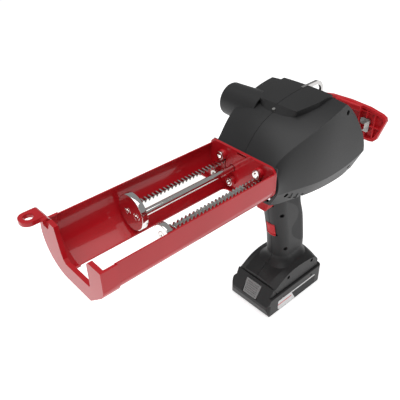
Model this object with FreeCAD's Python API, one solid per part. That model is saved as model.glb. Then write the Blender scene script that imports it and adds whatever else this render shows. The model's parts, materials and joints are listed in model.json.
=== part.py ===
"""Cordless two-component caulking gun: carrier, rack drive, pistol housing and battery.

Modelled in millimetres.  The working axes are X forward (towards the nozzle end), Y to the
operator's left and Z up.  Heights and stations are first given from the datum of the carrier:
X = 0 on the rear face of its back plate, Y = 0 on the parting plane of the housing and
Z = 0 on the top edges of the tray.  At export every piece is moved so that the origin is the
middle of the battery's underside, on which the gun stands.
"""
import FreeCAD, Part
import math
import os

V = FreeCAD.Vector

# ---------------------------------------------------------------- driving dimensions
# carrier
carrier_width = 100.0        # outside width of the tray and the back plate
carrier_length = 226.0       # rear face of the back plate to front face of the nose plate
back_plate_thick = 3.2
back_plate_rise = 5.5        # back plate above the tray's top edges
back_plate_corner = 9.0
tray_wall = 1.6
trough_y = -15.6             # centre of the large trough
trough_z = -13.5
trough_radius = 37.0         # outside radius of the large trough
small_trough_radius = 14.0   # rounding under the small cartridge
tray_bottom = -50.5
floor_gap_left = -21.5       # the open strip in the tray's floor
floor_gap_right = 16.0
floor_gap_start = 8.0
nose_plate_thick = 5.0
nose_collar_length = 13.3    # casting that wraps the front of the tray
nose_overlap = 2.0           # tray inside that collar
nose_wall = 2.0
cutout_left = -13.5          # nozzle cut-out of the nose plate
cutout_right = 28.8
cutout_floor = -32.4
cutout_round = 3.5           # rounding of the cut-out's lower left corner
eye_bore = 5.2               # hanging eye, radius of its hole
eye_x = 10.0                 # middle of the eye ahead of the nose plate's front
eye_y = -53.0
eye_reach = 9.8              # half width of the eye's tab
eye_thick = 4.8
eye_top = 8.0
slot_width = 13.6            # slot near the top of the back plate
slot_height = 2.4
slot_z = 2.8
gasket_thick = 2.4

# drive
rack_y_large = -29.0
rack_y_small = 27.0
rod_y = -14.0
drive_z = -20.0              # middle of the racks and of the guide rod
rack_width = 7.0
rack_crest = 5.5             # tooth crests above drive_z
rack_foot = 5.5              # underside of the racks below drive_z
rack_pitch = 5.2
pressure_angle = 20.0
rack_rear = -205.0           # rear ends of the racks
rod_radius = 3.9
disc_front = 141.5           # front faces of the two piston discs
disc_thick = 7.0
large_disc_radius = 21.0
large_disc_y = -24.3
small_disc_radius = 12.3
pinion_teeth = 14
pinion_width = 9.0
shaft_x = -38.0              # cross shaft of the drive
shaft_radius = 5.0
gear_teeth = 47
motor_pinion_teeth = 14
gear_module = 1.25
gear_width = 7.0
gear_y = 0.0
backlash = 0.16              # taken off each tooth's thickness

# motor
motor_radius = 14.0
motor_length = 46.0
motor_end_y = -80.0          # outer end of the motor
motor_x = -63.2
motor_cover_radius = 20.6    # at its outer end
motor_cover_draft = 0.056    # radius gained for each millimetre towards its root
motor_cover_end_y = -84.4
motor_cover_wall = 2.2
motor_cover_root_y = -38.0   # inner end of the cover, under the top of the housing
planet_case_length = 20.0

# housing
shell_wall = 3.0
hood_rise = 6.8              # raised panel above the top, at its front edge
hood_fade = 0.065            # how fast it sinks into the top towards the rear, per millimetre
hood_flatten = 4.2           # its shoulders above the housing's own curve, at its front edge
grip_width = 36.0
grip_corner = 16.0
foot_half_width = 33.0
soft_grip_thick = 1.5
loop_thick = 3.6             # steel hanging loop held in the parting plane

# battery
battery_length = 118.5
battery_width = 72.0
battery_front = -22.0
battery_bottom = -257.0
battery_top = -224.0
battery_seam = -235.0
battery_wall = 2.0
battery_corner = 6.0
cell_radius = 9.15
cell_length = 65.0
cell_count = 5
label_depth = 0.8
button_width = 27.0
button_low_width = 24.0      # the button narrows towards its lower end

# clearances
slip = 0.3                   # between pieces of one body that only lie near each other
run = 0.4                    # between bodies that move past each other
fit = 0.05                   # radial clearance of shafts and pins in their bores

# screws: shank radius, head radius, head height
M3 = (1.5, 2.8, 2.0)
M5 = (2.5, 4.5, 2.6)
M6 = (3.0, 5.2, 3.0)
recess_play = 0.15           # radial room round a countersunk head

# ---------------------------------------------------------------- derived values
half_width = carrier_width / 2.0
tray_front = carrier_length - nose_plate_thick
nose_start = tray_front - nose_collar_length
drive_crest = drive_z + rack_crest
rack_module = rack_pitch / math.pi
rack_addendum = 0.8 * rack_module
rack_dedendum = 1.15 * rack_module
pinion_radius = rack_module * pinion_teeth / 2.0
shaft_z = drive_crest - rack_addendum + pinion_radius
gear_radius = gear_module * gear_teeth / 2.0
motor_pinion_radius = gear_module * motor_pinion_teeth / 2.0
gear_distance = gear_radius + motor_pinion_radius
motor_z = shaft_z + math.sqrt(gear_distance ** 2 - (shaft_x - motor_x) ** 2)
disc_back = disc_front - disc_thick
housing_front = -gasket_thick
battery_back = battery_front - battery_length
battery_mid_x = (battery_front + battery_back) / 2.0
battery_half = battery_width / 2.0

OFFSET = V(-battery_mid_x, 0, -battery_bottom)


# ---------------------------------------------------------------- small helpers
def box(x0, x1, y0, y1, z0, z1):
    return Part.makeBox(x1 - x0, y1 - y0, z1 - z0, V(x0, y0, z0))


def rod_x(radius, x0, x1, y, z):
    return Part.makeCylinder(radius, x1 - x0, V(x0, y, z), V(1, 0, 0))


def rod_y_axis(radius, x, y0, y1, z):
    return Part.makeCylinder(radius, y1 - y0, V(x, y0, z), V(0, 1, 0))


def rod_z(radius, x, y, z0, z1):
    return Part.makeCylinder(radius, z1 - z0, V(x, y, z0), V(0, 0, 1))


def union(shapes):
    first = shapes[0]
    if len(shapes) == 1:
        return first
    return first.multiFuse(shapes[1:]).removeSplitter()


def polygon(points):
    return Part.makePolygon(points + [points[0]])


def prism(points, direction):
    return Part.Face(polygon(points)).extrude(direction)


def slab_y(points_xz, y0, y1):
    """A side profile given as (x, z) pairs, carried across the gun."""
    return prism([V(x, y0, z) for x, z in points_xz], V(0, y1 - y0, 0))


def slab_x(points_yz, x0, x1):
    """A cross profile given as (y, z) pairs, carried along the gun."""
    return prism([V(x0, y, z) for y, z in points_yz], V(x1 - x0, 0, 0))


def solid_of(shape):
    solids = shape.Solids
    if len(solids) == 1:
        return solids[0]
    return Part.makeCompound(solids)


def edges_where(shape, test):
    return [edge for edge in shape.Edges if test(edge)]


def round_edges(shape, radius, test):
    chosen = edges_where(shape, test)
    return shape.makeFillet(radius, chosen) if chosen else shape


def along(edge, axis):
    """True for a straight edge that lies along the given axis."""
    if not isinstance(edge.Curve, (Part.Line, Part.LineSegment)):
        return False
    start, end = edge.Vertexes[0].Point, edge.Vertexes[-1].Point
    run_dir = (end - start)
    return run_dir.Length > 1e-6 and abs(run_dir.normalize().dot(axis)) > 0.999


def screw_x(spec, x_seat, y, z, length):
    """A socket screw along -X: its head stands ahead of x_seat, its shank behind it."""
    shank, head, height = spec
    body = rod_x(shank, x_seat - length, x_seat, y, z)
    cap = rod_x(head, x_seat, x_seat + height, y, z)
    cap = round_edges(cap, 0.5, lambda e: e.BoundBox.XMin > x_seat + height - 0.01)
    socket = hex_prism(shank * 0.95, V(x_seat + height * 0.35, y, z), V(1, 0, 0), height)
    return body.fuse(cap).cut(socket)


def screw_y(spec, x, y_seat, z, length):
    """A screw along -Y: its head lies on the +Y side of y_seat."""
    shank, head, height = spec
    body = rod_y_axis(shank, x, y_seat - length, y_seat, z)
    cap = rod_y_axis(head, x, y_seat, y_seat + height, z)
    socket = hex_prism(shank * 0.8, V(x, y_seat + height * 0.35, z), V(0, 1, 0), height)
    return body.fuse(cap).cut(socket)


def hex_prism(radius, start, axis, length):
    side = V(0, 0, 1) if abs(axis.z) < 0.5 else V(1, 0, 0)
    other = axis.cross(side)
    corners = []
    for i in range(6):
        angle = math.radians(60.0 * i)
        corners.append(start + side * (radius * math.cos(angle)) + other * (radius * math.sin(angle)))
    return prism(corners, axis * length)


def rounded_rect(x0, x1, half_y, radius, z):
    """A level outline, symmetric about Y = 0, with four arcs of one radius."""
    r = min(radius, (x1 - x0) / 2.0 - 0.05, half_y - 0.05)
    k = r * (1.0 - math.sqrt(0.5))
    pts = [V(x0 + r, -half_y, z), V(x1 - r, -half_y, z), V(x1 - k, -half_y + k, z),
           V(x1, -half_y + r, z), V(x1, half_y - r, z), V(x1 - k, half_y - k, z),
           V(x1 - r, half_y, z), V(x0 + r, half_y, z), V(x0 + k, half_y - k, z),
           V(x0, half_y - r, z), V(x0, -half_y + r, z), V(x0 + k, -half_y + k, z)]
    edges = [Part.makeLine(pts[0], pts[1]), Part.Arc(pts[1], pts[2], pts[3]).toShape(),
             Part.makeLine(pts[3], pts[4]), Part.Arc(pts[4], pts[5], pts[6]).toShape(),
             Part.makeLine(pts[6], pts[7]), Part.Arc(pts[7], pts[8], pts[9]).toShape(),
             Part.makeLine(pts[9], pts[10]), Part.Arc(pts[10], pts[11], pts[0]).toShape()]
    return Part.Wire(edges)


# ---------------------------------------------------------------- carrier
def carrier_outline(grow, x, top):
    """Cross outline of the carrier: large trough, flat bottom, small trough, two upright sides."""
    radius = trough_radius + grow
    bottom = tray_bottom - grow
    right = half_width + grow
    small = small_trough_radius + grow
    small_y = half_width - small_trough_radius
    small_z = -22.0
    left_top = math.sqrt(max(radius ** 2 - trough_z ** 2, 1.0))
    start = V(x, trough_y - left_top, 0.0)
    leftmost = V(x, trough_y - radius * math.cos(math.radians(35)),
                 trough_z - radius * math.sin(math.radians(35)))
    lowest = V(x, trough_y, bottom)
    flat_end = V(x, small_y - 11.0, bottom)
    slant = math.radians(40)
    slant_end = V(x, small_y + small * math.sin(slant), small_z - small * math.cos(slant))
    mid = math.radians(65)
    small_mid = V(x, small_y + small * math.sin(mid), small_z - small * math.cos(mid))
    small_end = V(x, right, small_z)
    right_top = V(x, right, top)
    left_up = V(x, start.y, top)
    edges = []
    if top > 0.01:
        edges.append(Part.makeLine(left_up, start))
    edges.append(Part.Arc(start, leftmost, lowest).toShape())
    edges.append(Part.makeLine(lowest, flat_end))
    edges.append(Part.makeLine(flat_end, slant_end))
    edges.append(Part.Arc(slant_end, small_mid, small_end).toShape())
    edges.append(Part.makeLine(small_end, right_top))
    edges.append(Part.makeLine(right_top, left_up if top > 0.01 else start))
    return Part.Wire(edges)


def carrier_block(grow, x0, x1, top):
    return Part.Face(carrier_outline(grow, x0, top)).extrude(V(x1 - x0, 0, 0))


SCREW_Y = (-28.5, 28.5, -13.1)
SCREW_Z = (-7.0, -7.0, -36.0)
BOSS_LENGTH = 4.2


def drive_holes(x0, x1, gap):
    """Openings for the two racks and the guide rod."""
    cuts = []
    for y in (rack_y_large, rack_y_small):
        half = rack_width / 2.0 + gap
        cuts.append(box(x0, x1, y - half, y + half, drive_z - rack_foot - gap, drive_crest + gap + 1.0))
    cuts.append(rod_x(rod_radius + gap, x0, x1, rod_y, drive_z))
    return union(cuts)


def carrier_back_plate():
    plate = carrier_block(0.0, 0.0, back_plate_thick, back_plate_rise)
    plate = round_edges(plate, back_plate_corner,
                        lambda e: along(e, V(1, 0, 0)) and e.BoundBox.ZMin > back_plate_rise - 0.01
                        and e.BoundBox.YMin > 0)
    plate = round_edges(plate, back_plate_rise - 0.3,
                        lambda e: along(e, V(1, 0, 0)) and e.BoundBox.ZMin > back_plate_rise - 0.01)
    bosses = [rod_x(6.0, 0.5, back_plate_thick + BOSS_LENGTH, y, z) for y, z in zip(SCREW_Y, SCREW_Z)]
    plate = union([plate] + bosses)
    for y, z in zip(SCREW_Y, SCREW_Z):
        plate = plate.cut(rod_x(M6[0] + fit, -1, 20, y, z))
    plate = plate.cut(box(-1, back_plate_thick + 1, -slot_width / 2, slot_width / 2,
                          slot_z - slot_height / 2, slot_z + slot_height / 2))
    return plate.cut(drive_holes(-1, 20, run + 0.2))


def carrier_tray():
    outer = carrier_block(0.0, back_plate_thick, tray_front - nose_collar_length + nose_overlap, 0.0)
    inner = carrier_block(-tray_wall, back_plate_thick - 1, tray_front + 5, 20.0)
    tray = outer.cut(inner)
    gap_end = carrier_length + 10
    radius = 6.0
    gap = box(floor_gap_start, gap_end, floor_gap_left, floor_gap_right, tray_bottom - 5, -40)
    gap = round_edges(gap, radius, lambda e: along(e, V(0, 0, 1)) and e.BoundBox.XMax < floor_gap_start + 1)
    return tray.cut(gap)


def carrier_nose():
    """Nose casting: a collar round the tray, the front plate with its cut-out, the hanging eye."""
    grow = nose_wall - 0.6
    collar = carrier_block(grow, nose_start, tray_front, -0.8)
    collar = collar.cut(carrier_block(0.0, nose_start - 1, nose_start + nose_overlap, 20.0))
    collar = collar.cut(carrier_block(-tray_wall, nose_start - 1, tray_front + 1, 20.0))
    collar = collar.cut(box(nose_start - 1, tray_front, floor_gap_left, floor_gap_right,
                            tray_bottom - 5, -40))
    plate = carrier_block(grow, tray_front, carrier_length, -0.8)
    ear = slab_x([(-51.0, -12.0), (-53.2, -4.0), (-58.0, 1.0), (eye_y - eye_reach, eye_top - eye_thick),
                  (-44.0, eye_top - eye_thick), (-36.0, 6.6), (-24.5, 5.8), (-21.0, -12.0)],
                 tray_front, carrier_length)
    cutout = Part.Face(polygon([
        V(tray_front - 1, -19.0, 30.0), V(tray_front - 1, -24.4, 5.8), V(tray_front - 1, -23.0, -4.0),
        V(tray_front - 1, -20.0, -22.0), V(tray_front - 1, -17.4, -29.0),
        V(tray_front - 1, cutout_left, cutout_floor), V(tray_front - 1, cutout_right, cutout_floor),
        V(tray_front - 1, cutout_right, 30.0)])).extrude(V(nose_plate_thick + 2, 0, 0))
    cutout = round_edges(cutout, cutout_round,
                         lambda e: along(e, V(1, 0, 0)) and e.BoundBox.ZMax < cutout_floor + 0.01
                         and e.BoundBox.YMin > 0)
    plate = plate.fuse(ear).cut(cutout)
    chamfer = slab_x([(cutout_right - 1, -5.0), (cutout_right - 1, 2.0), (cutout_right + 5.0, 2.0)],
                     tray_front - 1, carrier_length + 1)
    plate = plate.cut(chamfer)
    tab_x0 = tray_front
    tab_x1 = carrier_length + eye_x + eye_reach
    tab = box(tab_x0, tab_x1, eye_y - eye_reach, eye_y + eye_reach, eye_top - eye_thick, eye_top)
    tab = round_edges(tab, 9.0, lambda e: along(e, V(0, 0, 1)) and e.BoundBox.XMin > tab_x1 - 1)
    tab = round_edges(tab, 4.0, lambda e: along(e, V(0, 1, 0)) and e.BoundBox.XMax < tab_x0 + 0.01
                      and e.BoundBox.ZMin > eye_top - 0.01)
    bridge = slab_y([(tab_x0, -4.0), (carrier_length, -4.0),
                     (carrier_length + 3.4, eye_top - eye_thick + 0.1),
                     (carrier_length + 3.4, eye_top - 0.5), (tab_x0 + 2.5, eye_top), (tab_x0, eye_top - 2.5)],
                    eye_y + eye_reach - 14.0, -38.0)
    nose = union([collar, plate, tab, bridge])
    nose = nose.cut(rod_z(eye_bore, carrier_length + eye_x, eye_y, -10, 20))
    return nose


def carrier_screws():
    seat = back_plate_thick + BOSS_LENGTH
    return Part.makeCompound([screw_x(M6, seat, y, z, seat + 12.0) for y, z in zip(SCREW_Y, SCREW_Z)])


# ---------------------------------------------------------------- teeth
def rack(y, x_front):
    """A rack whose teeth face up; the pinion's middle tooth gap sits over shaft_x."""
    low = drive_z - rack_foot
    root = drive_crest - rack_addendum - rack_dedendum
    pitch_line = drive_crest - rack_addendum
    slope = math.tan(math.radians(pressure_angle))
    half = rack_pitch / 4.0 - backlash / 2.0
    points = [(rack_rear, low), (x_front, low), (x_front, root)]
    first = math.floor((x_front - shaft_x - rack_pitch) / rack_pitch)
    last = math.ceil((rack_rear + 12.0 - shaft_x) / rack_pitch)
    for i in range(first, last - 1, -1):
        middle = shaft_x + i * rack_pitch
        foot = half + slope * rack_dedendum
        tip = half - slope * rack_addendum
        points.append((middle + foot, root))
        points.append((middle + tip, pitch_line + rack_addendum))
        points.append((middle - tip, pitch_line + rack_addendum))
        points.append((middle - foot, root))
    points.append((rack_rear, root))
    return slab_y(points, y - rack_width / 2.0, y + rack_width / 2.0)


def involute(base, radius):
    """Polar angle of an involute of the given base circle, at the given radius."""
    ratio = min(base / radius, 1.0)
    pressure = math.acos(ratio)
    return math.tan(pressure) - pressure


def gear_profile(module, teeth, addendum, dedendum, turn, x, y, z):
    """Closed outline of a spur gear about an axis along Y; turn is where its first tooth points."""
    pitch_r = module * teeth / 2.0
    base_r = pitch_r * math.cos(math.radians(pressure_angle))
    tip_r = pitch_r + addendum
    root_r = pitch_r - dedendum
    thick = math.pi * module / 2.0 - backlash
    half_angle = thick / (2.0 * pitch_r) + involute(base_r, pitch_r)
    start_r = max(base_r, root_r + 0.02)
    steps = 6
    points = []
    for tooth in range(teeth):
        middle = turn + 2.0 * math.pi * tooth / teeth
        flank = []
        for i in range(steps + 1):
            r = start_r + (tip_r - start_r) * i / steps
            flank.append((r, half_angle - involute(base_r, r)))
        corners = [(root_r, -flank[0][1])] + [(r, -a) for r, a in flank]
        corners += [(r, a) for r, a in reversed(flank)] + [(root_r, flank[0][1])]
        for r, a in corners:
            points.append(V(x + r * math.cos(middle + a), y, z + r * math.sin(middle + a)))
    return Part.Face(polygon(points))


def spur_gear(module, teeth, addendum, dedendum, turn, x, y_mid, z, width, bore):
    face = gear_profile(module, teeth, addendum, dedendum, turn, x, y_mid - width / 2.0, z)
    blank = face.extrude(V(0, width, 0))
    return blank.cut(rod_y_axis(bore, x, y_mid - width, y_mid + width, z))


def rack_pinion(y):
    """Drive pinion: a tooth gap points straight down over a rack tooth."""
    turn = -math.pi / 2.0 + math.pi / pinion_teeth
    gear = spur_gear(rack_module, pinion_teeth, rack_addendum, rack_dedendum, turn,
                     shaft_x, y, shaft_z, pinion_width, shaft_radius)
    return gear


def mesh_angle():
    """Direction from the cross shaft to the motor's axis, in the X-Z plane."""
    return math.atan2(motor_z - shaft_z, motor_x - shaft_x)


def drive_gear():
    turn = mesh_angle()
    gear = spur_gear(gear_module, gear_teeth, 0.9 * gear_module, 1.2 * gear_module, turn,
                     shaft_x, gear_y, shaft_z, gear_width, shaft_radius)
    for i in range(5):
        angle = turn + math.radians(72.0 * i)
        radius = gear_radius * 0.6
        gear = gear.cut(rod_y_axis(4.2, shaft_x + radius * math.cos(angle), gear_y - gear_width,
                                   gear_y + gear_width, shaft_z + radius * math.sin(angle)))
    return gear


def motor_pinion():
    turn = mesh_angle() + math.pi + math.pi / motor_pinion_teeth
    return spur_gear(gear_module, motor_pinion_teeth, 0.9 * gear_module, 1.2 * gear_module, turn,
                     motor_x, gear_y, motor_z, gear_width + 1.0, 3.0)


# ---------------------------------------------------------------- pistons and racks
def piston_disc(y, radius, screw_at):
    disc = rod_x(radius, disc_back, disc_front, y, drive_z)
    disc = round_edges(disc, 0.8, lambda e: e.BoundBox.XMin > disc_front - 0.01)
    for screw_y_pos in screw_at:
        disc = disc.cut(rod_x(M5[0] + fit, disc_back - 1, disc_front + 1, screw_y_pos, drive_z))
        disc = disc.cut(rod_x(M5[1] + 0.15, disc_front - M5[2], disc_front + 1, screw_y_pos, drive_z))
    return disc


def piston_screws():
    seat = disc_front - M5[2]
    return Part.makeCompound([screw_x(M5, seat, y, drive_z, 16.0)
                              for y in (rack_y_large, rod_y, rack_y_small)])


def drilled_front(shape, y):
    return shape.cut(rod_x(M5[0] + fit, disc_back - 14.0, disc_back + 1, y, drive_z))


def large_rack():
    bar = drilled_front(rack(rack_y_large, disc_back), rack_y_large)
    return bar.cut(rod_x(M3[0] + fit, rack_rear - 1, rack_rear + 14, rack_y_large, drive_z - 1.0))


def small_rack():
    bar = drilled_front(rack(rack_y_small, disc_back), rack_y_small)
    return bar.cut(rod_x(M3[0] + fit, rack_rear - 1, rack_rear + 14, rack_y_small, drive_z - 1.0))


def guide_rod():
    bar = rod_x(rod_radius, rack_rear - END_PLATE_THICK, disc_back, rod_y, drive_z)
    return drilled_front(bar, rod_y)


HANDLE_DEPTH = 7.5
HANDLE_SKIN = 3.0
ROD_BOSS = 6.6
HANDLE_OUTLINE = [(0.0, 4.0), (30.0, 2.6), (49.0, -1.2), (55.0, -4.2), (56.4, -8.6), (47.5, -38.0),
                  (43.5, -42.2), (38.0, -43.4), (0.0, -43.4)]
END_PLATE_THICK = 4.0


def mirrored(points_yz):
    """A closed outline from its right half, which starts and ends on Y = 0."""
    other = [(-y, z) for y, z in reversed(points_yz) if y > 0.01]
    return points_yz + other


def inset_outline(points_yz, amount, centre_z):
    """The outline drawn in by about the given amount towards its middle line."""
    result = []
    for y, z in points_yz:
        new_y = y - amount if y > amount else y
        new_z = z - amount if z > centre_z else z + amount
        result.append((max(new_y, 0.0), new_z))
    return result


def pull_handle():
    x1 = rack_rear
    x0 = rack_rear - HANDLE_DEPTH
    outer = slab_x(mirrored(HANDLE_OUTLINE), x0, x1)
    outer = round_edges(outer, 2.5, lambda e: e.BoundBox.XMax < x0 + 0.01)
    pocket = slab_x(mirrored(inset_outline(HANDLE_OUTLINE, 3.2, drive_z)), x0 + HANDLE_SKIN, x1 + 1)
    body = outer.cut(pocket)
    rib_x0 = x0 + HANDLE_SKIN - 0.5
    rib_x1 = x1 - 0.8
    ribs = [rod_x(ROD_BOSS, x0 + 1.0, rib_x1, rod_y, drive_z)]
    inner = slab_x(mirrored(inset_outline(HANDLE_OUTLINE, 2.0, drive_z)), rib_x0, rib_x1)
    for y in (17.0, 28.0, 40.0):
        for side in (-1, 1):
            ribs.append(box(rib_x0, rib_x1, side * y - 0.9, side * y + 0.9, -60, 20).common(inner))
    ribs.append(box(rib_x0, rib_x1, -60, 60, -23.4, -21.6).common(inner))
    ribs.append(box(rib_x0, rib_x1, -60, 60, -4.8, -3.0).common(inner))
    lip = slab_x([(-20.0, 3.2), (20.0, 3.2), (20.0, -5.0), (-20.0, -5.0)], x1 - 4.0, x1 + 5.0)
    lip = round_edges(lip, 1.5, lambda e: e.BoundBox.XMin > x1 + 4.9)
    body = union([body] + ribs + [lip])
    for y in (rack_y_large, rack_y_small):
        body = body.cut(box(x1 - END_PLATE_THICK - slip, x1 + 1, y - 6.8 - slip, y + 6.8 + slip,
                            drive_z - 12.2 - slip, drive_z + 6.8 + slip))
        body = body.cut(rod_x(M3[0] + fit, x0 - 1, x1 + 1, y, drive_z - 1.0))
    body = body.cut(rod_x(rod_radius + fit, x1 - END_PLATE_THICK, x1 + 6, rod_y, drive_z))
    return solid_of(body)


def rack_end_plates():
    plates = []
    for y in (rack_y_large, rack_y_small):
        plate = box(rack_rear - END_PLATE_THICK, rack_rear, y - 6.8, y + 6.8, drive_z - 12.2, drive_z + 6.8)
        plate = round_edges(plate, 3.0, lambda e: along(e, V(1, 0, 0)))
        plates.append(plate.cut(rod_x(M3[0] + fit, rack_rear - 10, rack_rear + 1, y, drive_z - 1.0)))
    return Part.makeCompound(plates)


def pull_handle_screws():
    """Pan-head screws from behind, through the handle and the end plates into the racks."""
    screws = []
    x0 = rack_rear - HANDLE_DEPTH
    for y in (rack_y_large, rack_y_small):
        shank = rod_x(M3[0], x0 - 0.1, rack_rear + 12.0, y, drive_z - 1.0)
        head = rod_x(M3[1], x0 - M3[2], x0, y, drive_z - 1.0)
        socket = hex_prism(1.3, V(x0 - M3[2] - 0.1, y, drive_z - 1.0), V(1, 0, 0), 1.3)
        screws.append(head.fuse(shank).cut(socket))
    return Part.makeCompound(screws)


# ---------------------------------------------------------------- housing body
# one row per station: x, crown z, crease (y, z), flank bulge (y, z), lower crease (y, z),
# sill (y, z), keel z; widths are given from the carrier's half width
STATIONS = (
    (housing_front, 4.8, -6.0, 4.0, 0.4, -9.0, 0.2, -30.0, -9.0, -48.0, -50.0),
    (-15.0, 20.6, -3.0, 15.2, 1.6, -9.0, 1.2, -32.0, -5.5, -49.6, -54.0),
    (-30.0, 32.4, 1.4, 24.2, 4.4, -6.0, 3.6, -33.4, -4.0, -51.8, -58.0),
    (-50.0, 40.2, 5.4, 32.4, 8.2, -3.0, 7.0, -35.4, -1.8, -54.4, -62.0),
    (-80.0, 47.6, 7.6, 41.8, 10.8, 2.0, 10.0, -37.4, -0.8, -58.8, -66.0),
    (-108.0, 51.6, 5.6, 47.8, 10.8, 4.0, 11.0, -36.4, -0.2, -60.4, -66.0),
    (-134.0, 54.0, 2.6, 50.6, 10.2, 8.0, 11.8, -32.0, 0.0, -59.0, -62.0),
    (-160.0, 55.0, -1.0, 52.0, 9.6, 10.0, 12.0, -24.0, 0.0, -56.0, -58.0),
)


def housing_section(row, inset, lift, shoulder=0.0):
    x, crown, crease_y, crease_z, bulge_y, bulge_z, low_y, low_z, sill_y, sill_z, keel = row
    cy = half_width + crease_y - inset
    cz = crease_z - inset * 0.8 + lift + shoulder
    by = half_width + bulge_y - inset
    ly = half_width + low_y - inset
    sy = half_width + sill_y - inset
    sz = sill_z + inset
    top = crown - inset + lift
    low = keel + inset
    edges = [Part.Arc(V(x, -cy, cz), V(x, 0, top), V(x, cy, cz)).toShape(),
             Part.Arc(V(x, cy, cz), V(x, by, bulge_z), V(x, ly, low_z)).toShape(),
             Part.makeLine(V(x, ly, low_z), V(x, sy, sz)),
             Part.Arc(V(x, sy, sz), V(x, 0, low), V(x, -sy, sz)).toShape(),
             Part.makeLine(V(x, -sy, sz), V(x, -ly, low_z)),
             Part.Arc(V(x, -ly, low_z), V(x, -by, bulge_z), V(x, -cy, cz)).toShape()]
    return Part.Wire(edges)


VISOR = ((-104.5, 70.0), (-105.6, 56.0), (-107.7, 47.8), (-123.6, 32.7), (-138.5, 10.0), (-148.6, -11.0),
         (-152.0, -26.0), (-152.0, -75.0))


def behind_visor(inset):
    """Everything behind the rear face, which sweeps back from the top edge to the overhang."""
    side = -90.0
    pts = [V(x + inset, side, z) for x, z in VISOR]
    curve = Part.BSplineCurve()
    curve.interpolate(pts[2:7])
    edges = [Part.makeLine(pts[0], pts[1]), Part.makeLine(pts[1], pts[2]), curve.toShape(),
             Part.makeLine(pts[6], pts[7])]
    far_low = V(-260, side, pts[7].z)
    far_top = V(-260, side, pts[0].z)
    edges += [Part.makeLine(pts[7], far_low), Part.makeLine(far_low, far_top),
              Part.makeLine(far_top, pts[0])]
    return Part.Face(Part.Wire(edges)).extrude(V(0, -2.0 * side, 0))


def housing_body(inset):
    rows = list(STATIONS)
    body = Part.makeLoft([housing_section(row, inset, 0.0) for row in rows], True, False)
    return body.cut(behind_visor(inset))


# plan of the raised panel at its foot and at its rim: middle of the front edge, a point on it,
# its corner, two points on the side and the rear corner, each (x, y)
HOOD_FOOT = ((-43.1, 0.0), (-44.4, 12.0), (-54.3, 25.3), (-69.0, 33.2), (-81.5, 38.0), (-130.0, 38.0))
HOOD_RIM = ((-59.6, 0.0), (-59.0, 15.0), (-53.1, 30.0), (-68.0, 32.0), (-84.5, 35.0), (-130.0, 35.0))
HOOD_FOOT_Z = 34.0
HOOD_RIM_Z = 58.0


def hood_outline(points, z):
    """Plan of the panel, mirrored about Y = 0, with a curved front edge."""
    left = [V(x, y, z) for x, y in points]
    right = [V(x, -y, z) for x, y in points]
    front = Part.BSplineCurve()
    front.interpolate([right[2], right[1], left[0], left[1], left[2]])
    edges = [front.toShape()]
    for i in range(2, 5):
        edges.append(Part.makeLine(left[i], left[i + 1]))
    edges.append(Part.makeLine(left[5], right[5]))
    for i in range(5, 2, -1):
        edges.append(Part.makeLine(right[i], right[i - 1]))
    return Part.Wire(edges)


def hood_section(row, inset):
    """The housing's section lifted to the panel's level, with flatter shoulders near its front."""
    x = row[0]
    lift = hood_rise + hood_fade * (x + 50.0)
    flatten = max(hood_flatten * (1.0 + (x + 53.0) / 75.0), 0.0)
    return housing_section(row, inset, lift, flatten)


def hood(inset):
    """Raised panel over the rear of the top, with a steep border."""
    rows = [row for row in STATIONS if row[0] < -20]
    raised = Part.makeLoft([hood_section(row, inset) for row in rows], True, False)
    plug = Part.makeLoft([hood_outline(HOOD_FOOT, HOOD_FOOT_Z), hood_outline(HOOD_RIM, HOOD_RIM_Z)],
                         True, True)
    return raised.common(plug).cut(behind_visor(inset))


# grip stations: z, front x, rear x
GRIP = ((-56.0, -47.0, -106.0), (-80.0, -48.0, -104.0), (-102.0, -51.6, -105.5), (-122.0, -55.8, -112.0),
        (-146.0, -61.2, -117.0), (-168.0, -64.6, -120.6), (-187.0, -66.6, -121.6))


def grip_body(inset):
    half = grip_width / 2.0 - inset
    wires = [rounded_rect(rear + inset, front - inset, half, grip_corner - inset * 0.8, z)
             for z, front, rear in GRIP]
    return Part.makeLoft(wires, True, False)


# foot stations: x, crown z, crease (y, z), top of the flat side
FOOT = ((-37.0, -206.5, 22.5, -208.5, -214.0), (-46.0, -201.0, 23.0, -203.5, -209.5),
        (-56.0, -197.5, 23.5, -199.8, -204.0), (-76.0, -192.5, 24.8, -196.0, -198.6),
        (-98.0, -189.5, 27.0, -195.2, -198.8), (-117.0, -191.0, 28.0, -199.3, -201.8),
        (-127.0, -196.5, 28.0, -204.0, -206.0), (-132.0, -205.0, 27.5, -212.0, -214.0))
FOOT_CHIN_Z = -214.0         # below this the front of the foot leans back
FOOT_CHIN_X = -44.0          # where it meets the battery's top

# neck stations between grip and foot: z, front x, rear x, half width, corner
NECK = ((-184.0, -66.6, -121.6, 18.0, 16.0), (-190.0, -64.4, -122.4, 20.0, 17.0),
        (-197.0, -58.0, -124.0, 26.0, 20.0), (-206.0, -48.0, -126.0, 31.0, 22.0))


def foot_section(row, inset, x):
    crown, crease_y, crease_z, side_z = row[1:]
    low = battery_top - (1.0 if inset > 0.01 else 0.0)
    half = foot_half_width - inset
    cy = crease_y - inset * 0.7
    crease = V(x, cy, crease_z - inset)
    side = V(x, half, side_z - inset)
    foot = V(x, half, low)
    other = [V(x, -p.y, p.z) for p in (crease, side, foot)]
    edges = [Part.Arc(other[0], V(x, 0, crown - inset), crease).toShape(),
             Part.makeLine(crease, side), Part.makeLine(side, foot), Part.makeLine(foot, other[2]),
             Part.makeLine(other[2], other[1]), Part.makeLine(other[1], other[0])]
    return Part.Wire(edges)


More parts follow.
